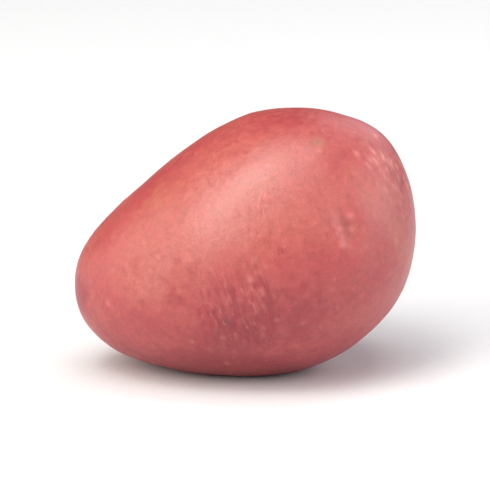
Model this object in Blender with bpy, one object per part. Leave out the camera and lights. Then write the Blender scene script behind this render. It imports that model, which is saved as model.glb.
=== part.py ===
"""A red-skinned potato, lying on the small flat spot on its underside.

The tuber grew as one piece, so it is one closed solid. It is shaped along its own axis, from the
stem end (-X) to the bud end (+X), with its upper side at +Z and its back at +Y. It is then leant
over, settled on its underside and moved so that the origin is the middle of its footprint.
Units are metres, with Z up.
"""

import math

import bmesh
import bpy
from mathutils import Matrix, Vector

# Overall sizes, along the tuber's own axes
LENGTH = 0.089
WIDTH = 0.064
THICKNESS = 0.0645

# Body
TAPER = 0.15  # how much the bud end's girth exceeds the middle's, as a share
LEAN = math.radians(19.5)  # how far the bud end is raised off the level
CELLS_PER_SIDE = 24  # quads along each side of the rounded cube that the tuber is shaped from

# Broad swells (+) and hollows (-): the angle round the side view from the bud end, the angle
# towards the back, the breadth in degrees, and the height as a share of the local radius
BROAD_FORMS = {
    "long flat above the stem end": (112, 0, 44, -0.07),
    "blunt bud end": (-14, 0, 30, -0.03),
    "corner of the bud end": (22, 0, 20, 0.025),
    "upper side of the heel": (160, 0, 26, 0.04),
    "lower side of the heel": (200, 0, 22, 0.03),
    "belly that carries the weight": (-94, 0, 28, 0.05),
    "flat cheek at the front": (14, -52, 30, -0.035),
    "full flank at the front": (-60, -55, 34, 0.025),
    "hollow back": (150, 78, 38, -0.08),
    "full shoulder at the back": (40, 48, 34, 0.035),
}

# Rest spot
REST_DEPTH = 0.0018  # how much of the rounded underside is pressed flat
REST_EASE = 0.00035  # how softly the pressed skin turns into the flat
REST_SKIM = 0.00015  # what is then cut away, to leave a true flat face

# Eyes: the angle from the bud end, the turn round the axis (0 is up, 90 is the back), and the width
EYES = (
    (12, 100, 0.0060),
    (22, 165, 0.0064),
    (32, 60, 0.0070),
    (44, 280, 0.0082),
    (54, 140, 0.0078),
    (66, 36, 0.0066),
    (78, 92, 0.0084),
    (104, 138, 0.0086),
    (116, 46, 0.0070),
    (138, 100, 0.0074),
)
EYE_DEPTH = 0.16  # pit depth, as a share of the eye's width
EYE_ASPECT = 0.52  # pit length along the tuber, as a share of the eye's width
BROW_HEIGHT = 0.045  # height of the ridge on the pit's stem side, as a share of the eye's width
BROW_OFFSET = 0.50  # from the pit to the ridge, as a share of the eye's width
BROW_SPREAD = 1.3  # how much wider the ridge is than the pit
BROW_CURVE = 0.4  # how far the ridge's ends bend round the pit
EYE_REACH = 2.0  # how many widths away an eye still shapes the skin

# Scar where the tuber hung on its stolon
SCAR_ANGLE = 168  # from the bud end
SCAR_TURN = 62  # round the axis
SCAR_WIDTH = 0.0080
SCAR_DEPTH = 0.0012

SKIN_COLOUR = (0.52, 0.115, 0.11, 1.0)
SKIN_ROUGHNESS = 0.5


def side_direction(angle, towards_back):
    """The unit direction at this angle round the side view, turned towards the back."""
    angle, towards_back = math.radians(angle), math.radians(towards_back)
    level = math.cos(towards_back)
    return Vector((math.cos(angle) * level, math.sin(towards_back), math.sin(angle) * level))


def axial_direction(from_bud_end, turn):
    """The unit direction at this angle from the bud end and this turn round the tuber's axis."""
    from_bud_end, turn = math.radians(from_bud_end), math.radians(turn)
    out = math.sin(from_bud_end)
    return Vector((math.cos(from_bud_end), out * math.sin(turn), out * math.cos(turn)))


def bell(distance):
    """A smooth bump: 1 at the middle, fading to nothing past a distance of about 2."""
    return math.exp(-distance * distance)


def rounded_cube():
    """A unit sphere of even quads, made from a subdivided cube."""
    tuber = bmesh.new()
    bmesh.ops.create_cube(tuber, size=2.0)
    bmesh.ops.subdivide_edges(
        tuber, edges=tuber.edges[:], cuts=CELLS_PER_SIDE - 1, use_grid_fill=True
    )
    for vertex in tuber.verts:
        even = [math.tan(along * math.pi / 4) for along in vertex.co]
        vertex.co = Vector(even).normalized()
    return tuber


def box_of(tuber):
    """The lowest and the highest corner of the mesh."""
    corners = [
        [pick(vertex.co[axis] for vertex in tuber.verts) for axis in range(3)] for pick in (min, max)
    ]
    return Vector(corners[0]), Vector(corners[1])


def swell(tuber):
    """Turn the sphere into the tuber's body, of exactly the overall sizes."""
    forms = [
        (side_direction(angle, back), math.radians(breadth), height)
        for angle, back, breadth, height in BROAD_FORMS.values()
    ]
    for vertex in tuber.verts:
        out = vertex.co.copy()
        radius = 1 + sum(
            height * bell(out.angle(middle) / breadth) for middle, breadth, height in forms
        )
        girth = 1 + TAPER * out.x
        vertex.co = radius * Vector((out.x, out.y * girth, out.z * girth))
    low, high = box_of(tuber)
    stretch = [size / span for size, span in zip((LENGTH, WIDTH, THICKNESS), high - low)]
    bmesh.ops.translate(tuber, verts=tuber.verts, vec=-(low + high) / 2)
    bmesh.ops.scale(tuber, verts=tuber.verts, vec=stretch)
    tuber.normal_update()


def surface_point(tuber, direction):
    """The vertex that lies nearest to this direction from the middle of the body."""
    return max(tuber.verts, key=lambda vertex: vertex.co.normalized().dot(direction))


def surface_frame(tuber, direction):
    """A point on the skin, with the ways across the tuber and towards its stem end there."""
    at = surface_point(tuber, direction)
    across = at.normal.cross(Vector((1, 0, 0))).normalized()
    return at.co.copy(), across, across.cross(at.normal).normalized()


def press_eye(tuber, from_bud_end, turn, width):
    """How far each vertex moves out for one eye: a pit, with a brow on its stem side."""
    middle, across, to_stem = surface_frame(tuber, axial_direction(from_bud_end, turn))
    half, offset = width / 2, BROW_OFFSET * width
    moves = {}
    for vertex in tuber.verts:
        away = vertex.co - middle
        if away.length > EYE_REACH * width:
            continue
        side = away.dot(across) / half
        along = away.dot(to_stem)
        pit = bell(side) * bell(along / (half * EYE_ASPECT))
        brow_line = offset * (1 - BROW_CURVE * side * side)
        brow = bell(side / BROW_SPREAD) * bell((along - brow_line) / (half * EYE_ASPECT))
        moves[vertex] = width * (BROW_HEIGHT * brow - EYE_DEPTH * pit)
    return moves


def press_scar(tuber):
    """How far each vertex moves in for the round stolon scar."""
    middle = surface_point(tuber, axial_direction(SCAR_ANGLE, SCAR_TURN)).co.copy()
    return {
        vertex: -SCAR_DEPTH * bell((vertex.co - middle).length / (SCAR_WIDTH / 2))
        for vertex in tuber.verts
    }


def press_details(tuber):
    """Press the eyes and the scar into the body, all measured on its smooth skin."""
    presses = [press_eye(tuber, *eye) for eye in EYES] + [press_scar(tuber)]
    skin = [(vertex, vertex.normal.copy()) for vertex in tuber.verts]
    for vertex, outwards in skin:
        vertex.co += outwards * sum(moves.get(vertex, 0.0) for moves in presses)


def eased(height):
    """This height above the floor, after the floor has softly pressed the skin up."""
    return (height + math.hypot(height, 2 * REST_EASE)) / 2


def lay_down(tuber):
    """Lean the tuber over, flatten its underside and put its footprint's middle at the origin."""
    bmesh.ops.rotate(tuber, verts=tuber.verts, matrix=Matrix.Rotation(-LEAN, 3, "Y"))
    low, _ = box_of(tuber)
    for vertex in tuber.verts:
        vertex.co.z = eased(vertex.co.z - low.z - REST_DEPTH) - REST_SKIM
    bmesh.ops.bisect_plane(
        tuber,
        geom=tuber.verts[:] + tuber.edges[:] + tuber.faces[:],
        plane_co=(0, 0, 0),
        plane_no=(0, 0, -1),
        clear_outer=True,
    )
    rim = [edge for edge in tuber.edges if edge.is_boundary]
    bmesh.ops.contextual_create(tuber, geom=rim)
    low, high = box_of(tuber)
    middle = (low + high) / 2
    bmesh.ops.translate(tuber, verts=tuber.verts, vec=(-middle.x, -middle.y, -low.z))
    bmesh.ops.recalc_face_normals(tuber, faces=tuber.faces)


def skin_material():
    """Matt rose-red potato skin."""
    skin = bpy.data.materials.new("potato_skin")
    skin.use_nodes = True
    shader = skin.node_tree.nodes["Principled BSDF"]
    shader.inputs["Base Color"].default_value = SKIN_COLOUR
    shader.inputs["Roughness"].default_value = SKIN_ROUGHNESS
    shader.inputs["Metallic"].default_value = 0.0
    return skin


def main():
    for obj in list(bpy.data.objects):
        bpy.data.objects.remove(obj)
    tuber = rounded_cube()
    swell(tuber)
    press_details(tuber)
    lay_down(tuber)
    mesh = bpy.data.meshes.new("potato")
    tuber.to_mesh(mesh)
    tuber.free()
    mesh.shade_smooth()
    mesh.materials.append(skin_material())
    collection = bpy.data.collections.new("potato")
    bpy.context.scene.collection.children.link(collection)
    collection.objects.link(bpy.data.objects.new("potato", mesh))


main()
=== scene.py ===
"""A red-skinned potato, lying on a plain studio floor.

The tuber takes its form, size and place from the solid that it is loaded with. A fine skin is drawn
down onto that solid, and what grows on a potato is shaped into it: gentle swells and lumps, eyes
with their brows and sleeping buds, the scar where the tuber hung on its stolon, raised lenticels,
flakes and patches of scurf. The finish reads the same marks, so colour and relief belong together.
Sizes are in metres, and in millimetres where a comment says so.
"""

import logging
import math
from collections.abc import Sequence
from dataclasses import dataclass
from enum import Enum

import bmesh
import bpy
import numpy as np
from mathutils import Matrix, Vector, noise
from mathutils.bvhtree import BVHTree

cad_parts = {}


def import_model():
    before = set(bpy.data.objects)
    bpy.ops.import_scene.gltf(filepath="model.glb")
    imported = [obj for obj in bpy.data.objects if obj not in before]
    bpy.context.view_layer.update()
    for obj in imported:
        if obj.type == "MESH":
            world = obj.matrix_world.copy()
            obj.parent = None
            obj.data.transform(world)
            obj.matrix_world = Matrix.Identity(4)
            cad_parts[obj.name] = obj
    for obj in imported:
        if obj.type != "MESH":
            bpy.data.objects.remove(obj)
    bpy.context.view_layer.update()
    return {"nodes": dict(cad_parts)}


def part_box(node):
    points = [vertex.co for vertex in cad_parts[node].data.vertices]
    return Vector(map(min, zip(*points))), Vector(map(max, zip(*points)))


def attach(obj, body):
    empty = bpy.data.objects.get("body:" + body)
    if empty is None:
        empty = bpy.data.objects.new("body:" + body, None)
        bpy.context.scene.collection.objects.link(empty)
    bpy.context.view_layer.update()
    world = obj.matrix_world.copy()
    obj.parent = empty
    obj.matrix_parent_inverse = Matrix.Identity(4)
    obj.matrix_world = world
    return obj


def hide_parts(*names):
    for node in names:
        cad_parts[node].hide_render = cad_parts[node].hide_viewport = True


LOG = logging.getLogger("potato")
MM = 0.001
LEAN = math.radians(19.5)  # how far the tuber's bud end is raised off the level

Colour = tuple[float, float, float]
Array = np.ndarray


class Mark(Enum):
    """The marks that are painted onto the skin's points, for the finish to read."""

    PIT = "eye_pit"
    BROW = "eye_brow"
    BUD = "eye_bud"
    SCAR = "stolon_scar"
    LENTICEL = "lenticel"
    SCURF = "scurf"
    # Raised pale flakes; near the bud end they also paint glints.
    FLAKE_AND_GLINT = "skin_flake_and_painted_glint"
    # Deeper skin colour, and painted shade where it lies on the lower front, the underside and the
    # stem end.
    DEEP_AND_SHADE = "deep_tone_and_painted_shade"
    # Paler skin colour, and a painted highlight along the upper front.
    PALE_AND_HIGHLIGHT = "pale_tone_and_painted_highlight"
    GREENING = "greening"
    BLEMISH = "blemish"


Marks = dict[Mark, Array]  # how strongly each point of the skin bears each mark


def paint(marks: Marks, mark: Mark, strength: Array) -> None:
    """Let every point bear a mark at least this strongly."""
    marks[mark] = np.maximum(marks[mark], strength)


def bell(distance: Array) -> Array:
    """A smooth bump: 1 at the middle, fading to nothing past a distance of about 2."""
    return np.exp(-distance * distance)


def rise(value: Array, low: float, high: float) -> Array:
    """A smooth rise from 0 at low to 1 at high."""
    share = np.clip((value - low) / (high - low), 0.0, 1.0)
    return share * share * (3.0 - 2.0 * share)


def unevenness(points: Array, grain: float, seed: float) -> Array:
    """Smooth noise over points, from about -1 to 1.

    Args:
        points: One row for each point, in metres.
        grain: The size of one swell, in metres.
        seed: Shifts the noise, so that two layers differ.

    Returns:
        One value for each point.
    """
    return np.array([noise.noise(row) for row in points / grain + seed])


# --------------------------------------------------------------------------------------------------
# The tuber's own axis
# --------------------------------------------------------------------------------------------------


@dataclass(frozen=True)
class Axis:
    """The line from the tuber's stem end to its bud end, as it lies leaning in the frame."""

    heart: tuple[float, float, float]
    lean: float = LEAN

    def towards(self, from_bud_end: float, turn: float) -> Vector:
        """A direction out of the heart.

        Args:
            from_bud_end: The angle from the bud end, in degrees.
            turn: The turn round the axis, in degrees: 0 is up and 90 is the back.

        Returns:
            The unit direction, in the frame.
        """
        angle, turn = math.radians(from_bud_end), math.radians(turn)
        out = math.sin(angle)
        upright = Vector((math.cos(angle), out * math.sin(turn), out * math.cos(turn)))
        return Matrix.Rotation(-self.lean, 3, "Y") @ upright

    def to_stem_end(self) -> Vector:
        """The way from the heart to the stem end."""
        return self.towards(180.0, 0.0)


@dataclass
class Skin:
    """The points of the fine skin, as they are before any mark is shaped into them."""

    points: Array
    normals: Array
    axis: Axis

    def spot(self, from_bud_end: float, turn: float) -> int:
        """The point that lies furthest out in this direction from the heart."""
        direction = np.array(self.axis.towards(from_bud_end, turn))
        outwards = self.points - np.array(self.axis.heart)
        outwards /= np.linalg.norm(outwards, axis=1)[:, None]
        return int(np.argmax(outwards @ direction))

    def chart(self, from_bud_end: float, turn: float) -> tuple[Array, Array]:
        """Measure the skin around a spot.

        Args:
            from_bud_end: The spot's angle from the bud end, in degrees.
            turn: The spot's turn round the axis, in degrees.

        Returns:
            How far across the tuber, and how far towards its stem end, each point lies from the
            spot, in millimetres. Points on the far side of the tuber are put out of reach.
        """
        at = self.spot(from_bud_end, turn)
        normal = Vector(self.normals[at])
        across = normal.cross(self.axis.to_stem_end()).normalized()
        to_stem = across.cross(normal).normalized()
        away = (self.points - self.points[at]) / MM
        hidden = self.normals @ np.array(normal) < 0
        side, along = away @ np.array(across), away @ np.array(to_stem)
        return np.where(hidden, np.inf, side), np.where(hidden, np.inf, along)


# --------------------------------------------------------------------------------------------------
# What grows on the skin
# --------------------------------------------------------------------------------------------------


@dataclass(frozen=True)
class Swell:
    """A broad gentle swell (+) or hollow (-) of the whole body."""

    from_bud_end: float
    turn: float
    radius: float  # mm
    height: float  # mm

    def shape(self, skin: Skin, marks: Marks) -> Array:
        """Return how far each point moves out, in millimetres. It paints nothing."""
        at = skin.points[skin.spot(self.from_bud_end, self.turn)]
        return self.height * bell(np.linalg.norm(skin.points - at, axis=1) / (self.radius * MM))


@dataclass(frozen=True)
class Bud:
    """A sleeping bud, or a knob of a brow: its place from the eye's middle, in millimetres."""

    across: float
    to_stem: float
    radius: float
    height: float


@dataclass(frozen=True)
class Eye:
    """An eye: a shallow pit with sleeping buds, under a brow on its stem side."""

    from_bud_end: float
    turn: float
    width: float  # mm
    buds: tuple[Bud, ...] = ()
    depth: float = 0.10  # of the pit, as a share of the width
    aspect: float = 0.5  # length along the tuber, as a share of the width
    brow_height: float = 0.055  # as a share of the width
    brow_offset: float = 0.42  # from the pit's middle, as a share of the width
    brow_curve: float = 0.28  # how far the brow's ends bend round the pit
    brow_length: float = 0.95  # as a share of the width
    brow_breadth: float = 0.13  # as a share of the width
    brow_reach: float = 3.0  # half widths out to which the brow goes on bending
    side_bud_offset: float = 0.27  # from the eye's middle, as a share of the width

    def sleeping_buds(self) -> tuple[Bud, ...]:
        """The eye's own buds, or a middle one with a smaller one on each side."""
        side = self.side_bud_offset * self.width
        return self.buds or (
            Bud(0.0, 0.3, 1.00, 0.27),
            Bud(side, -0.1, 0.70, 0.20),
            Bud(-side, -0.1, 0.65, 0.18),
        )

    def shape(self, skin: Skin, marks: Marks) -> Array:
        """Paint the eye's marks, and return how far each point moves out, in millimetres."""
        side, along = skin.chart(self.from_bud_end, self.turn)
        half = self.width / 2
        pit = bell(side / half) * bell(along / (half * self.aspect))
        bend = self.brow_curve * np.square(np.minimum(np.abs(side) / half, self.brow_reach))
        crescent = along - self.width * self.brow_offset * (1.0 - bend)
        brow = bell(side / (self.brow_length * half))
        brow *= bell(crescent / (self.width * self.brow_breadth))
        moves = self.width * (self.brow_height * brow - self.depth * pit)
        for bud in self.sleeping_buds():
            knob = bell(np.hypot(side - bud.across, along - bud.to_stem) / bud.radius)
            moves += bud.height * knob
            paint(marks, Mark.BUD, knob)
        paint(marks, Mark.PIT, pit)
        paint(marks, Mark.BROW, brow)
        return moves


@dataclass(frozen=True)
class StolonScar:
    """The round dry scar where the tuber hung on its stolon, with the stub in its middle."""

    from_bud_end: float = 168.0
    turn: float = 62.0
    radius: float = 3.6  # mm
    depth: float = 0.55  # mm
    lip: float = 0.22  # height of the rim, in mm
    lip_breadth: float = 0.28  # as a share of the radius
    stub_radius: float = 1.0  # mm
    stub_height: float = 0.75  # mm
    raggedness: float = 0.18  # of the rim, as a share of the radius
    crumb_height: float = 0.16  # mm

    def shape(self, skin: Skin, marks: Marks) -> Array:
        """Paint the scar, and return how far each point moves out, in millimetres."""
        away = np.hypot(*skin.chart(self.from_bud_end, self.turn))
        ragged = away * (1.0 + self.raggedness * unevenness(skin.points, 1.6 * MM, seed=5.0))
        marks[Mark.SCAR] = 1.0 - rise(ragged, 0.55 * self.radius, 1.05 * self.radius)
        lip = bell((ragged - self.radius) / (self.lip_breadth * self.radius))
        hollow = bell(ragged / (0.75 * self.radius))
        stub = bell(ragged / self.stub_radius)
        crumbs = marks[Mark.SCAR] * unevenness(skin.points, 0.9 * MM, seed=9.0)
        return (
            self.lip * lip
            - self.depth * hollow
            + self.stub_height * stub
            + self.crumb_height * crumbs
        )


@dataclass(frozen=True)
class Lenticel:
    """One raised breathing pore."""

    from_bud_end: float
    turn: float
    radius: float  # mm
    height: float  # mm
    paleness: float = 1.0

    def shape(self, skin: Skin, marks: Marks) -> Array:
        """Paint the pore, and return how far each point moves out, in millimetres."""
        at = skin.points[skin.spot(self.from_bud_end, self.turn)]
        knob = bell(np.linalg.norm(skin.points - at, axis=1) / (self.radius * MM))
        paint(marks, Mark.LENTICEL, self.paleness * knob)
        return self.height * knob


@dataclass(frozen=True)
class Lenticels:
    """Breathing pores strewn all round the tuber, a little uneven in size and spacing."""

    count: int = 230
    radius: tuple[float, float] = (0.40, 0.80)  # mm
    height: tuple[float, float] = (0.02, 0.08)  # mm
    paleness: tuple[float, float] = (0.25, 1.0)
    golden_turn: float = 137.508  # from one pore to the next, in degrees, for an even spread
    stray: tuple[float, float] = (5.0, 12.0)  # along and round the tuber, in degrees
    smallness: float = 2.2  # the higher it is, the fewer pores are large
    seed: int = 4

    def shape(self, skin: Skin, marks: Marks) -> Array:
        """Paint the pores, and return how far each point moves out, in millimetres."""
        dice = np.random.default_rng(self.seed)
        moves = np.zeros(len(skin.points))
        for number in range(self.count):
            along = 1.0 - 2.0 * (number + 0.5) / self.count
            strays = [dice.uniform(-stray, stray) for stray in self.stray]
            from_bud_end = math.degrees(math.acos(along)) + strays[0]
            turn = number * self.golden_turn + strays[1]
            size = dice.uniform() ** self.smallness
            spans = (self.radius, self.height, self.paleness)
            pore = Lenticel(from_bud_end, turn, *(low + size * (high - low) for low, high in spans))
            moves += pore.shape(skin, marks)
        return moves


@dataclass(frozen=True)
class Scurf:
    """A patch where the skin is thin, flaky and a little wrinkled."""

    from_bud_end: float
    turn: float
    radius: float  # mm
    strength: float = 1.0
    raggedness: float = 0.45  # of the patch's edge, as a share of the radius
    flake_height: float = 0.05  # mm

    def shape(self, skin: Skin, marks: Marks) -> Array:
        """Paint the patch, and return how far each point moves out, in millimetres."""
        away = np.hypot(*skin.chart(self.from_bud_end, self.turn))
        stray = self.raggedness * unevenness(skin.points, 6.0 * MM, seed=self.turn)
        ragged = away + self.radius * stray
        patch = self.strength * (1.0 - rise(ragged, 0.35 * self.radius, self.radius))
        paint(marks, Mark.SCURF, patch)
        return self.flake_height * patch * unevenness(skin.points, 1.3 * MM, seed=3.0)


@dataclass(frozen=True)
class Flakes:
    """A loose group of small raised flakes of pale skin, drawn out round the tuber's girth."""

    from_bud_end: float
    turn: float
    spread: float  # mm
    count: int
    radius: tuple[float, float] = (0.35, 0.75)  # mm
    height: float = 0.06  # mm
    paleness: float = 1.0
    tilt: float = 0.0  # of the flakes, towards the stem end, as a slope
    tilt_scatter: float = 0.22
    drawn_out: float = 1.6  # a flake's length, as a multiple of its width
    faintest: float = 0.35  # of the flakes, as a share of the strongest
    reach: float = 5.0  # how far a flake is worked out, in mm
    seed: int = 1

    def shape(self, skin: Skin, marks: Marks) -> Array:
        """Paint the flakes, and return how far each point moves out, in millimetres."""
        dice = np.random.default_rng(self.seed)
        side, along = skin.chart(self.from_bud_end, self.turn)
        moves = np.zeros(len(skin.points))
        for _ in range(self.count):
            across, to_stem = dice.normal(0.0, self.spread / 2, 2)
            radius, tilt = dice.uniform(*self.radius), dice.normal(self.tilt, self.tilt_scatter)
            away, past = side - across, along - to_stem - tilt * (side - across)
            near = np.abs(away) + np.abs(past) < self.reach
            knob = bell(np.hypot(away[near] / self.drawn_out, past[near]) / radius)
            flake = np.zeros(len(moves))
            flake[near] = knob * dice.uniform(self.faintest, 1.0)
            moves += self.height * flake
            paint(marks, Mark.FLAKE_AND_GLINT, self.paleness * flake)
        return moves


@dataclass(frozen=True)
class Tint:
    """A place where the skin's colour is deeper, paler, greener or browner. Some deeper places are
    painted shade, and some paler ones a painted highlight.
    """

    kind: Mark
    from_bud_end: float
    turn: float
    radius: float  # mm
    strength: float = 1.0
    drawn_out: float = 1.0  # its length along the tuber, as a multiple of its width
    raggedness: float = 0.3  # of its edge, as a share of the radius

    def shape(self, skin: Skin, marks: Marks) -> Array:
        """Paint the place. It moves nothing."""
        side, along = skin.chart(self.from_bud_end, self.turn)
        away = np.hypot(side, along / self.drawn_out)
        stray = self.raggedness * unevenness(skin.points, 0.9 * self.radius * MM, seed=7.0)
        ragged = np.maximum(away + self.radius * stray, 0.0)
        patch = self.strength * bell(ragged / self.radius)
        paint(marks, self.kind, patch)
        return np.zeros(len(skin.points))


# --------------------------------------------------------------------------------------------------
# Shader graph
# --------------------------------------------------------------------------------------------------


class Wire:
    """A shader output that takes part in Python arithmetic."""

    def __init__(self, graph: "Graph", socket: bpy.types.NodeSocket) -> None:
        """Wrap one output socket of a graph."""
        self.graph = graph
        self.socket = socket

    def __add__(self, other: "Value") -> "Wire":
        """Sum."""
        return self.graph.maths("ADD", self, other)

    def __sub__(self, other: "Value") -> "Wire":
        """Difference."""
        return self.graph.maths("SUBTRACT", self, other)

    def __rsub__(self, other: "Value") -> "Wire":
        """Difference from a number."""
        return self.graph.maths("SUBTRACT", other, self)

    def __mul__(self, other: "Value") -> "Wire":
        """Product."""
        return self.graph.maths("MULTIPLY", self, other)

    __radd__ = __add__
    __rmul__ = __mul__

    def rise(self, low: "Value", high: "Value") -> "Wire":
        """A smooth rise from 0 where this is low to 1 where it is high."""
        return self.graph.add(
            "ShaderNodeMapRange",
            {"interpolation_type": "SMOOTHSTEP"},
            {"Value": self, "From Min": low, "From Max": high},
        )


Value = Wire | float


class Graph:
    """The nodes of one material."""

    def __init__(self, name: str) -> None:
        """Start a material that holds only its shader and its output."""
        self.material = bpy.data.materials.new(name)
        self.material.use_nodes = True
        self.tree = self.material.node_tree
        self.shader = self.tree.nodes["Principled BSDF"]

    def feed(self, socket: bpy.types.NodeSocket, value: Value | Sequence[float]) -> None:
        """Link a wire to an input, or set the input to a plain number or colour."""
        if isinstance(value, Wire):
            self.tree.links.new(value.socket, socket)
        elif socket.type == "RGBA":
            socket.default_value = (*value, 1.0)
        else:
            socket.default_value = value

    def add(self, kind: str, settings: dict, sockets: dict, result: str | int = 0) -> Wire:
        """Add one node.

        Args:
            kind: The node's type.
            settings: Its settings, which are set before its sockets.
            sockets: A value or a wire for each input, by the input's name or number.
            result: The name or number of the output that is wanted.

        Returns:
            That output.
        """
        node = self.tree.nodes.new(kind)
        for name, value in settings.items():
            setattr(node, name, value)
        for name, value in sockets.items():
            self.feed(node.inputs[name], value)
        return Wire(self, node.outputs[result])

    def maths(self, operation: str, first: Value, second: Value) -> Wire:
        """One operation on two numbers."""
        return self.add("ShaderNodeMath", {"operation": operation}, {0: first, 1: second})

    def place(self) -> Wire:
        """The place on the piece, in millimetres."""
        metres = self.add("ShaderNodeTexCoord", {}, {}, "Object")
        return self.add(
            "ShaderNodeVectorMath", {"operation": "SCALE"}, {0: metres, "Scale": 1 / MM}
        )

    def mark(self, mark: Mark) -> Wire:
        """A mark that was painted onto the skin's points."""
        return self.add("ShaderNodeAttribute", {"attribute_name": mark.value}, {}, "Fac")

    def noise(self, at: Wire, grain: float, seed: float = 0.0, detail: float = 2.0) -> Wire:
        """Soft noise around 0.5, with swells of this many millimetres."""
        return self.add(
            "ShaderNodeTexNoise",
            {"noise_dimensions": "4D"},
            {"Vector": at, "W": seed, "Scale": 1 / grain, "Detail": detail},
            "Fac",
        )

    def swirled(self, at: Wire, grain: float, reach: float) -> Wire:
        """Places pushed about by up to this many millimetres, so that cells lose their edges."""
        push = self.add(
            "ShaderNodeTexNoise", {}, {"Vector": at, "Scale": 1 / grain, "Detail": 1.0}, "Color"
        )
        centred = self.add(
            "ShaderNodeVectorMath", {"operation": "SUBTRACT"}, {0: push, 1: (0.5, 0.5, 0.5)}
        )
        scaled = self.add(
            "ShaderNodeVectorMath", {"operation": "SCALE"}, {0: centred, "Scale": 2 * reach}
        )
        return self.add("ShaderNodeVectorMath", {"operation": "ADD"}, {0: at, 1: scaled})

    def drawn_round(self, at: Wire, stretch: float) -> Wire:
        """Places squeezed so that whatever is read at them is drawn out round the tuber's girth.

        Args:
            at: The places.
            stretch: How many times as long as wide a spot becomes.

        Returns:
            The squeezed places.
        """
        level = self.add(
            "ShaderNodeVectorRotate", {"rotation_type": "Y_AXIS"}, {"Vector": at, "Angle": LEAN}
        )
        squeeze = (1.0, 1 / stretch, 1 / stretch)
        return self.add("ShaderNodeVectorMath", {"operation": "MULTIPLY"}, {0: level, 1: squeeze})

    def cells(self, at: Wire, size: float) -> tuple[Wire, Wire]:
        """Round cells, with this many millimetres from one middle to the next.

        Args:
            at: Where the cells are read.
            size: The spacing of the cells, in millimetres.

        Returns:
            The distance in millimetres, and a number between 0 and 1 that is each cell's own.
        """
        sockets = {"Vector": at, "Scale": 1 / size}
        distance = self.add("ShaderNodeTexVoronoi", {}, sockets, "Distance")
        colour = self.add("ShaderNodeTexVoronoi", {}, sockets, "Color")
        own = self.add("ShaderNodeSeparateColor", {}, {"Color": colour}, "Red")
        return distance * size, own

    def mix(self, base: Wire | Colour, over: Wire | Colour, share: Value) -> Wire:
        """One colour laid over another."""
        return self.add(
            "ShaderNodeMix", {"data_type": "RGBA"}, {"Factor": share, 6: base, 7: over}, 2
        )

    def dimmed(self, colour: Wire, share: Value) -> Wire:
        """A colour made darker or brighter by a factor."""
        return self.add(
            "ShaderNodeVectorMath", {"operation": "SCALE"}, {0: colour, "Scale": share}
        )

    def relief(self, height: Wire) -> Wire:
        """A normal bent by a height in millimetres."""
        return self.add("ShaderNodeBump", {}, {"Height": height, "Distance": MM, "Strength": 1.0})


# --------------------------------------------------------------------------------------------------
# Finishes
# --------------------------------------------------------------------------------------------------


@dataclass(frozen=True)
class Cover:
    """How much of the colour under it each layer covers, from 0 to 1."""

    # how much the pale mark's paler flush covers: paler skin and painted highlight
    highlight_blush: float = 0.70
    crimson: float = 0.85
    # how much painted shade takes the skin to its deepest red on the underside and the stem end
    wine_and_painted_shade: float = 0.80
    straw: float = 0.45
    flaky: float = 0.34
    cracked: float = 0.78
    furrow: float = 0.75
    speck: float = 0.34
    lenticel: float = 0.45
    flake: float = 0.62
    pinhole: float = 0.55
    blemish: float = 0.60
    greening: float = 0.55
    # how far a dusty film and painted shade darken the eye pits
    pit: float = 0.75
    bud: float = 0.70
    brow: float = 0.22
    scar: float = 0.90


@dataclass(frozen=True)
class Relief:
    """How far each layer of the finest grain stands out (+) or in (-), in millimetres."""

    swell: float = 0.120
    mottle: float = 0.105
    grain: float = 0.060
    flaky: float = 0.060
    cracked: float = -0.060
    furrow: float = -0.090
    speck: float = 0.020
    pinhole: float = -0.050
    scar_grain: float = 0.300


@dataclass(frozen=True)
class Dullness:
    """How much rougher than the plain skin each layer is."""

    mottle: float = 0.20
    worn: float = 0.06
    scar: float = 0.30
    pit: float = 0.25


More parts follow.
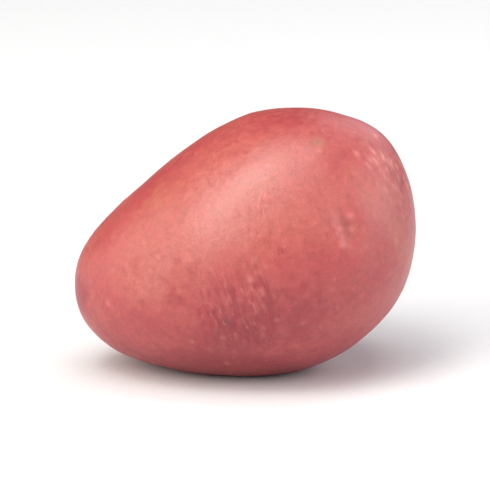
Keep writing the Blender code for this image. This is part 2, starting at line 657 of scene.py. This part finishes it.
@dataclass(frozen=True)
class PotatoSkin:
    """Rose-red potato skin: clouded, mottled, a little scuffed, with eyes darkened by a dusty film
    and painted shade, painted shade on the underside and a painted highlight band.
    """

    rose: Colour = (0.400, 0.050, 0.056)
    salmon: Colour = (0.455, 0.086, 0.070)
    # a paler flush: paler skin, and a painted highlight along the upper front
    highlight_blush: Colour = (0.450, 0.122, 0.102)
    crimson: Colour = (0.330, 0.026, 0.038)
    # the deepest red: painted shade on the underside and the stem end, and the colour of the
    # furrows
    wine_and_painted_shade: Colour = (0.260, 0.018, 0.026)
    straw: Colour = (0.440, 0.135, 0.076)
    fleck: Colour = (0.590, 0.180, 0.145)
    # a dusty film and painted shade in the eye pits
    dust_and_pit_shade: Colour = (0.300, 0.062, 0.050)
    cork: Colour = (0.270, 0.082, 0.050)
    # pale flakes; near the bud end they also paint glints
    flake: Colour = (0.720, 0.265, 0.225)
    bud: Colour = (0.560, 0.150, 0.140)
    green: Colour = (0.300, 0.165, 0.075)
    pinhole: Colour = (0.190, 0.050, 0.040)
    cover: Cover = Cover()
    relief: Relief = Relief()
    dullness: Dullness = Dullness()
    even_shade: float = 0.52  # the brightness that the mottle and the grain add to
    mottle_shade: float = 0.52
    grain_shade: float = 0.44
    streak_stretch: float = 2.4  # length round the girth, as a multiple of the breadth
    furrow_stretch: float = 4.5
    roughness: float = 0.40
    specular: float = 0.68
    subsurface: float = 0.10
    subsurface_depth: float = 1.6 * MM
    subsurface_radius: Colour = (1.0, 0.35, 0.28)

    def material(self) -> bpy.types.Material:
        """Build the finish."""
        graph = Graph("potato_skin")
        at = graph.place()
        pit, brow, bud, scar, lenticel, scurf, flake, deep, pale, green, blemish = (
            graph.mark(mark) for mark in Mark
        )
        swell = graph.noise(at, grain=2.8, seed=8.0)
        mottle = graph.noise(at, grain=1.5, seed=2.0, detail=4.0)
        grain = graph.noise(at, grain=0.5, seed=7.0, detail=3.0)
        thin_skin = graph.noise(at, grain=10.0, seed=6.0, detail=3.0).rise(0.40, 0.70)
        worn = thin_skin * 0.5 + scurf
        girth = graph.drawn_round(at, self.streak_stretch)
        streak = graph.noise(girth, grain=0.95, seed=9.0, detail=4.0)
        flaky = streak.rise(0.52, 0.68) * worn
        cracked = (1 - streak.rise(0.32, 0.47)) * worn
        crease = graph.noise(graph.drawn_round(at, self.furrow_stretch), grain=1.25, seed=4.0)
        furrow = (1 - crease.rise(0.39, 0.51)) * scurf
        speck, pinhole = self.specks(graph, at)

        cover = self.cover
        layers = (
            (self.fleck, flaky * cover.flaky),
            (self.crimson, cracked * cover.cracked),
            (self.wine_and_painted_shade, furrow * cover.furrow),
            (self.fleck, speck * cover.speck),
            (self.fleck, lenticel * cover.lenticel),
            # Pale flakes: flaky skin, and near the bud end also painted glints.
            (self.flake, flake * cover.flake),
            (self.pinhole, pinhole * cover.pinhole + blemish * cover.blemish),
            (self.green, green * cover.greening),
            # Eye pits darkened towards the middle: partly a dusty film, partly painted shade in the
            # recess.
            (self.dust_and_pit_shade, pit.rise(0.30, 1.0) * cover.pit),
            (self.bud, bud * cover.bud + brow * cover.brow),
            (self.cork, scar * cover.scar),
        )
        colour = self.clouds(graph, at, deep, pale)
        for tone, share in layers:
            colour = graph.mix(colour, tone, share)
        shade = self.even_shade + mottle * self.mottle_shade + grain * self.grain_shade

        relief = self.relief
        height = (
            swell * relief.swell
            + mottle * relief.mottle
            + grain * relief.grain
            + flaky * relief.flaky
            + cracked * relief.cracked
            + furrow * relief.furrow
            + speck * relief.speck
            + pinhole * relief.pinhole
            + scar * grain * relief.scar_grain
        )
        dullness = self.dullness
        roughness = (
            self.roughness
            + (mottle - 0.5) * dullness.mottle
            + worn * dullness.worn
            + scar * dullness.scar
            + pit * dullness.pit
        )
        graph.feed(graph.shader.inputs["Base Color"], graph.dimmed(colour, shade))
        graph.feed(graph.shader.inputs["Roughness"], roughness)
        graph.feed(graph.shader.inputs["Normal"], graph.relief(height))
        self.set_evenly(graph.shader)
        return graph.material

    def clouds(self, graph: Graph, at: Wire, deep: Wire, pale: Wire) -> Wire:
        """Rose skin clouded with salmon, crimson and thin straw-coloured places. The deep mark also
        lays painted shade that goes to the deepest red where it is strong, and the pale mark a
        paler flush that is partly a painted highlight.

        Args:
            graph: The material's nodes.
            at: The place on the piece.
            deep: Where the skin was marked as deeper in colour, partly as painted shade.
            pale: Where the skin was marked as paler, partly as a painted highlight.

        Returns:
            The clouded colour.
        """
        wide = graph.noise(at, grain=26.0, seed=1.0)
        middling = graph.noise(at, grain=8.0, seed=2.0, detail=4.0)
        small = graph.noise(at, grain=2.8, seed=3.0, detail=4.0)
        thin = graph.noise(at, grain=15.0, seed=5.0, detail=3.0)
        salmon = (wide * 0.5 + middling * 0.3 + small * 0.2 + pale * 0.22).rise(0.40, 0.66)
        crimson = (wide * 0.3 + middling * 0.3 + small * 0.4 + deep * 0.24).rise(0.52, 0.74)
        # Where the deep mark is strong, on the underside and the stem end, the skin goes to its
        # deepest red: painted shade.
        wine_and_painted_shade = (deep + small * 0.6).rise(0.80, 1.40)
        straw = (thin + small * 0.35 - deep * 0.18).rise(0.66, 0.96)
        cover = self.cover
        colour = graph.mix(self.rose, self.salmon, salmon)
        # The pale mark's paler flush: paler skin, and a painted highlight along the upper front.
        colour = graph.mix(colour, self.highlight_blush, pale * cover.highlight_blush)
        colour = graph.mix(colour, self.crimson, crimson * cover.crimson)
        colour = graph.mix(colour, self.wine_and_painted_shade, wine_and_painted_shade * cover.wine_and_painted_shade)
        return graph.mix(colour, self.straw, straw * cover.straw)

    def specks(self, graph: Graph, at: Wire) -> tuple[Wire, Wire]:
        """Pale specks and a few dark pinholes, each cell with its own size."""
        distance, own = graph.cells(graph.swirled(at, grain=1.4, reach=0.5), size=2.7)
        radius = own.rise(0.55, 1.0) * 0.50
        speck = (1 - distance.rise(radius * 0.3, radius + 0.05)) * own.rise(0.55, 1.0)
        distance, own = graph.cells(graph.swirled(at, grain=1.5, reach=0.3), size=4.3)
        pinhole = (1 - distance.rise(0.10, 0.42)) * own.rise(0.78, 0.84)
        return speck, pinhole

    def set_evenly(self, shader: bpy.types.ShaderNode) -> None:
        """Set what is the same all over the skin."""
        shader.inputs["Specular IOR Level"].default_value = self.specular
        shader.inputs["Subsurface Weight"].default_value = self.subsurface
        shader.inputs["Subsurface Scale"].default_value = self.subsurface_depth
        shader.inputs["Subsurface Radius"].default_value = self.subsurface_radius


@dataclass(frozen=True)
class StudioPaper:
    """Plain white paper."""

    colour: Colour = (0.73, 0.73, 0.74)
    roughness: float = 0.9

    def material(self) -> bpy.types.Material:
        """Build the finish."""
        graph = Graph("studio_paper")
        graph.feed(graph.shader.inputs["Base Color"], self.colour)
        graph.feed(graph.shader.inputs["Roughness"], self.roughness)
        return graph.material


# --------------------------------------------------------------------------------------------------
# The tuber
# --------------------------------------------------------------------------------------------------


@dataclass
class Tuber:
    """The potato: a fine skin over the solid, with everything that grows on it."""

    solid: bpy.types.Object
    low: Vector
    high: Vector
    heart_shift: tuple[float, float, float] = (0.0004, 0.0, -0.0035)  # from the box's middle
    cast_cells: int = 32  # quads along each side of the cast that is drawn down onto the solid
    softening: int = 8  # passes that take the solid's flat facets out of the cast
    weld: float = 0.01 * MM  # points of the solid that are closer than this are one
    divisions: int = 2  # halvings that make the cast into the fine skin
    # Uneven lumps all over, as the size of one in metres and its height in mm
    lumps: tuple[tuple[float, float], ...] = ((0.024, 0.42), (0.010, 0.20), (0.0042, 0.055))
    rest_sink: float = 0.0004  # how far the soft underside is pressed into the floor
    rest_ease: float = 0.0003  # how softly the pressed skin turns into the flat
    swells: tuple[Swell, ...] = (
        Swell(25, 8, 8.0, 0.60),
        Swell(72, 10, 10.0, 0.55),
        Swell(118, 10, 14.0, -0.55),
        Swell(156, 8, 8.0, 0.45),
    )
    eyes: tuple[Eye, ...] = (
        Eye(12, 100, 6.0),
        Eye(22, 165, 6.4),
        Eye(32, 60, 7.0),
        Eye(
            44,
            280,
            8.6,
            buds=(
                Bud(-2.3, -1.4, 0.95, 0.32),
                Bud(-0.1, 2.1, 0.85, 0.26),
                Bud(3.6, 2.9, 0.90, 0.32),
                Bud(1.0, -1.0, 0.80, 0.12),
            ),
            depth=0.050,
            brow_height=0.020,
        ),
        Eye(54, 140, 7.8),
        Eye(66, 36, 6.6),
        Eye(78, 92, 8.4),
        Eye(104, 138, 8.6),
        Eye(116, 46, 7.0),
        Eye(138, 100, 7.4),
    )
    scar: StolonScar = StolonScar()
    lenticels: Lenticels = Lenticels()
    pores: tuple[Lenticel, ...] = (
        Lenticel(83, 280, 0.90, 0.12),
        Lenticel(87, 273, 0.60, 0.10),
        Lenticel(79, 276, 0.50, 0.07, 0.7),
    )
    scurf: tuple[Scurf, ...] = (
        # This patch at the bud end's upper front also paints glints where rough skin catches the
        # light.
        Scurf(20, 325, 11.0, 0.6),
        Scurf(95, 258, 14.0, 1.0),
        Scurf(70, 120, 15.0, 0.8),
        Scurf(150, 20, 12.0, 0.7),
        Scurf(128, 190, 14.0, 0.6),
    )
    flakes: tuple[Flakes, ...] = (
        # These two groups at the bud end's upper front also paint glints on rough skin.
        Flakes(22, 325, 8.0, 26, (0.40, 0.85), height=0.10, seed=1),
        Flakes(15, 290, 8.0, 12, paleness=0.6, seed=5),
        Flakes(88, 268, 8.0, 20, paleness=0.32, tilt=0.25, seed=2),
        Flakes(100, 250, 10.0, 26, (0.40, 0.85), paleness=0.20, tilt=0.25, drawn_out=2.2, seed=6),
        Flakes(72, 118, 12.0, 26, paleness=0.30, seed=3),
        Flakes(140, 30, 12.0, 20, paleness=0.30, seed=4),
    )
    tints: tuple[Tint, ...] = (
        # Deep places on the lower front, the underside and the stem end paint shade into the skin;
        # the others are deeper skin colour.
        Tint(Mark.DEEP_AND_SHADE, 46, 352, 11.0, 0.6, 1.4),
        Tint(Mark.DEEP_AND_SHADE, 60, 262, 8.0, 0.5),
        Tint(Mark.DEEP_AND_SHADE, 70, 160, 14.0, 0.7),
        Tint(Mark.DEEP_AND_SHADE, 98, 248, 15.0, 0.95, 1.6),
        Tint(Mark.DEEP_AND_SHADE, 100, 60, 16.0, 0.7, 1.4),
        Tint(Mark.DEEP_AND_SHADE, 112, 215, 16.0, 1.2, 1.8),
        Tint(Mark.DEEP_AND_SHADE, 140, 262, 9.0, 0.6),
        Tint(Mark.DEEP_AND_SHADE, 158, 235, 9.0, 0.7),
        Tint(Mark.DEEP_AND_SHADE, 168, 310, 7.0, 0.9),
        # Pale places on the front (turns 297 and 310) paint the highlight band as well as paler
        # skin; the one at the back is paler skin.
        Tint(Mark.PALE_AND_HIGHLIGHT, 88, 310, 14.0, 1.0, 2.0),
        Tint(Mark.PALE_AND_HIGHLIGHT, 90, 110, 16.0, 0.8, 1.6),
        Tint(Mark.PALE_AND_HIGHLIGHT, 128, 297, 9.0, 1.2, 1.3),
        Tint(Mark.GREENING, 47, 328, 1.6, 0.9),
        Tint(Mark.BLEMISH, 103, 257, 0.7, 1.0),
        Tint(Mark.BLEMISH, 118, 120, 0.8, 0.9),
    )

    def build(self, finish: PotatoSkin) -> bpy.types.Object:
        """Make the piece.

        Args:
            finish: The skin's finish.

        Returns:
            The finished piece, in its place in the frame.
        """
        mesh = self.fine_skin()
        skin = self.measured(mesh)
        marks: Marks = {mark: np.zeros(len(skin.points)) for mark in Mark}
        growths = (*self.swells, *self.eyes, self.scar, self.lenticels, *self.pores)
        growths += (*self.scurf, *self.flakes, *self.tints)
        moves = sum(growth.shape(skin, marks) for growth in growths)
        moves = moves + sum(
            height * unevenness(skin.points, grain, seed)
            for seed, (grain, height) in enumerate(self.lumps)
        )
        points = self.settled(skin.points + skin.normals * moves[:, None] * MM)
        mesh.vertices.foreach_set("co", points.ravel())
        for mark, values in marks.items():
            layer = mesh.attributes.new(mark.value, "FLOAT", "POINT")
            layer.data.foreach_set("value", np.clip(values, 0.0, 1.0))
        mesh.update()
        mesh.shade_smooth()
        mesh.materials.append(finish.material())
        piece = bpy.data.objects.new("potato_tuber", mesh)
        bpy.context.scene.collection.objects.link(piece)
        return piece

    def heart(self) -> Vector:
        """The middle of the tuber's own axis."""
        return (self.low + self.high) / 2 + Vector(self.heart_shift)

    def cast(self) -> bmesh.types.BMesh:
        """A ball of even quads, drawn down onto the solid and softened."""
        merged = bmesh.new()
        merged.from_mesh(self.solid.data)
        bmesh.ops.remove_doubles(merged, verts=merged.verts, dist=self.weld)
        target = BVHTree.FromBMesh(merged)
        cast = bmesh.new()
        bmesh.ops.create_cube(cast, size=2.0)
        bmesh.ops.subdivide_edges(
            cast, edges=cast.edges[:], cuts=self.cast_cells - 1, use_grid_fill=True
        )
        heart = self.heart()
        for vertex in cast.verts:
            even = Vector([math.tan(share * math.pi / 4) for share in vertex.co])
            vertex.co = target.ray_cast(heart, even.normalized())[0]
        for _ in range(self.softening):
            bmesh.ops.smooth_vert(
                cast,
                verts=cast.verts,
                factor=0.5,
                use_axis_x=True,
                use_axis_y=True,
                use_axis_z=True,
            )
        merged.free()
        return cast

    def fine_skin(self) -> bpy.types.Mesh:
        """The cast, divided smoothly into the fine skin's mesh."""
        cast = self.cast()
        coarse = bpy.data.meshes.new("potato_cast")
        cast.to_mesh(coarse)
        cast.free()
        holder = bpy.data.objects.new("potato_cast", coarse)
        bpy.context.scene.collection.objects.link(holder)
        dividing = holder.modifiers.new("dividing", "SUBSURF")
        dividing.levels = dividing.render_levels = self.divisions
        graph = bpy.context.evaluated_depsgraph_get()
        mesh = bpy.data.meshes.new_from_object(holder.evaluated_get(graph))
        bpy.data.objects.remove(holder)
        bpy.data.meshes.remove(coarse)
        mesh.name = "potato_tuber"
        return mesh

    def measured(self, mesh: bpy.types.Mesh) -> Skin:
        """The mesh's points and normals as arrays, with the tuber's axis."""
        points = np.empty(len(mesh.vertices) * 3)
        mesh.vertices.foreach_get("co", points)
        normals = np.empty(len(mesh.vertices) * 3)
        mesh.vertex_normals.foreach_get("vector", normals)
        axis = Axis(tuple(self.heart()))
        return Skin(points.reshape(-1, 3), normals.reshape(-1, 3), axis)

    def settled(self, points: Array) -> Array:
        """Stretch the shaped skin to the solid's box and press its underside flat.

        Args:
            points: One row for each point, in metres.

        Returns:
            The points in their place, none below the floor.
        """
        low, high = np.array(self.low), np.array(self.high)
        low[2] -= self.rest_sink
        found_low, found_high = points.min(axis=0), points.max(axis=0)
        points = low + (points - found_low) * (high - low) / (found_high - found_low)
        height = points[:, 2] - self.rest_ease
        points[:, 2] = (height + np.hypot(height, 2 * self.rest_ease)) / 2
        points[:, 2] -= points[:, 2].min()
        points[:, 2] *= high[2] / points[:, 2].max()
        return points


# --------------------------------------------------------------------------------------------------
# The studio
# --------------------------------------------------------------------------------------------------


WARM_WHITE: Colour = (1.0, 0.97, 0.91)
COOL_WHITE: Colour = (0.90, 0.93, 1.0)


@dataclass(frozen=True)
class Softbox:
    """A flat soft light that faces the tuber from some way off."""

    name: str
    towards: tuple[float, float, float]  # from the tuber to the light
    size: tuple[float, float]
    power: float
    colour: Colour = (1.0, 1.0, 1.0)
    distance: float = 2.2
    along: tuple[float, float, float] = (0.01, 0.0, 1.0)  # roughly where its first side points

    def hang(self, aim: Vector) -> None:
        """Hang the light so that it faces the aim."""
        light = bpy.data.lights.new(self.name, "AREA")
        light.shape = "RECTANGLE"
        light.size, light.size_y = self.size
        light.energy = self.power
        light.color = self.colour
        holder = bpy.data.objects.new(self.name, light)
        out = Vector(self.towards).normalized()
        upwards = out.cross(Vector(self.along)).normalized()
        turned = Matrix((upwards.cross(out), upwards, out)).transposed()
        holder.matrix_world = Matrix.Translation(aim + out * self.distance) @ turned.to_4x4()
        bpy.context.scene.collection.objects.link(holder)


@dataclass(frozen=True)
class Studio:
    """A white paper floor, soft lights all round, and the camera."""

    floor_side: float = 12.0
    daylight: float = 0.10  # strength of the even light from all round
    softboxes: tuple[Softbox, ...] = (
        Softbox("key_light", (-0.52, -0.52, 0.68), (2.5, 1.15), 57.5, WARM_WHITE),
        Softbox("right_light", (0.93, -0.03, 0.36), (1.6, 2.6), 29.0, COOL_WHITE),
        Softbox("left_light", (-0.93, 0.12, 0.30), (1.3, 1.0), 9.0, WARM_WHITE),
        Softbox("back_light", (0.50, 0.80, 0.55), (1.4, 1.4), 10.0),
        Softbox("top_light", (0.00, -0.12, 1.00), (1.8, 1.8), 31.0),
        Softbox("front_light", (0.40, -0.80, 0.45), (1.8, 1.8), 6.0),
    )
    lens: float = 170.0  # mm
    camera_distance: float = 0.58
    camera_elevation: float = math.radians(14.0)

    def build(self, aim: Vector, paper: StudioPaper) -> None:
        """Set up the floor, the lights and the camera around the aim."""
        self.floor(paper)
        for softbox in self.softboxes:
            softbox.hang(aim)
        self.surroundings()
        self.camera(aim)

    def floor(self, paper: StudioPaper) -> bpy.types.Object:
        """A wide sheet of paper at the level of the tuber's rest spot."""
        sheet = bmesh.new()
        bmesh.ops.create_grid(sheet, x_segments=1, y_segments=1, size=self.floor_side / 2)
        mesh = bpy.data.meshes.new("studio_floor")
        sheet.to_mesh(mesh)
        sheet.free()
        mesh.materials.append(paper.material())
        floor = bpy.data.objects.new("studio_floor", mesh)
        bpy.context.scene.collection.objects.link(floor)
        return floor

    def surroundings(self) -> None:
        """Even white light from all round."""
        world = bpy.data.worlds.new("studio")
        world.use_nodes = True
        background = world.node_tree.nodes["Background"]
        background.inputs["Color"].default_value = (1.0, 1.0, 1.0, 1.0)
        background.inputs["Strength"].default_value = self.daylight
        bpy.context.scene.world = world
        bpy.context.scene.view_settings.view_transform = "Standard"

    def camera(self, aim: Vector) -> None:
        """A long lens, looking a little down on the front of the tuber."""
        data = bpy.data.cameras.new("camera")
        data.lens = self.lens
        data.clip_start = 0.01
        camera = bpy.data.objects.new("camera", data)
        back = Vector((0.0, -math.cos(self.camera_elevation), math.sin(self.camera_elevation)))
        camera.location = aim + back * self.camera_distance
        camera.rotation_euler = back.to_track_quat("Z", "Y").to_euler()
        bpy.context.scene.collection.objects.link(camera)
        bpy.context.scene.camera = camera


def main() -> None:
    """Load the frame, dress the tuber, set up the studio and log the number of points."""
    logging.basicConfig(level=logging.INFO, format="%(name)s: %(message)s")
    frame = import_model()
    low, high = (Vector(corner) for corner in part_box("potato"))

    tuber = Tuber(frame["nodes"]["potato"], low, high)
    piece = tuber.build(PotatoSkin())
    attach(piece, "root")
    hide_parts("potato")
    LOG.info("%s: %d points", piece.name, len(piece.data.vertices))

    Studio().build((low + high) / 2, StudioPaper())


if __name__ == "__main__":
    main()
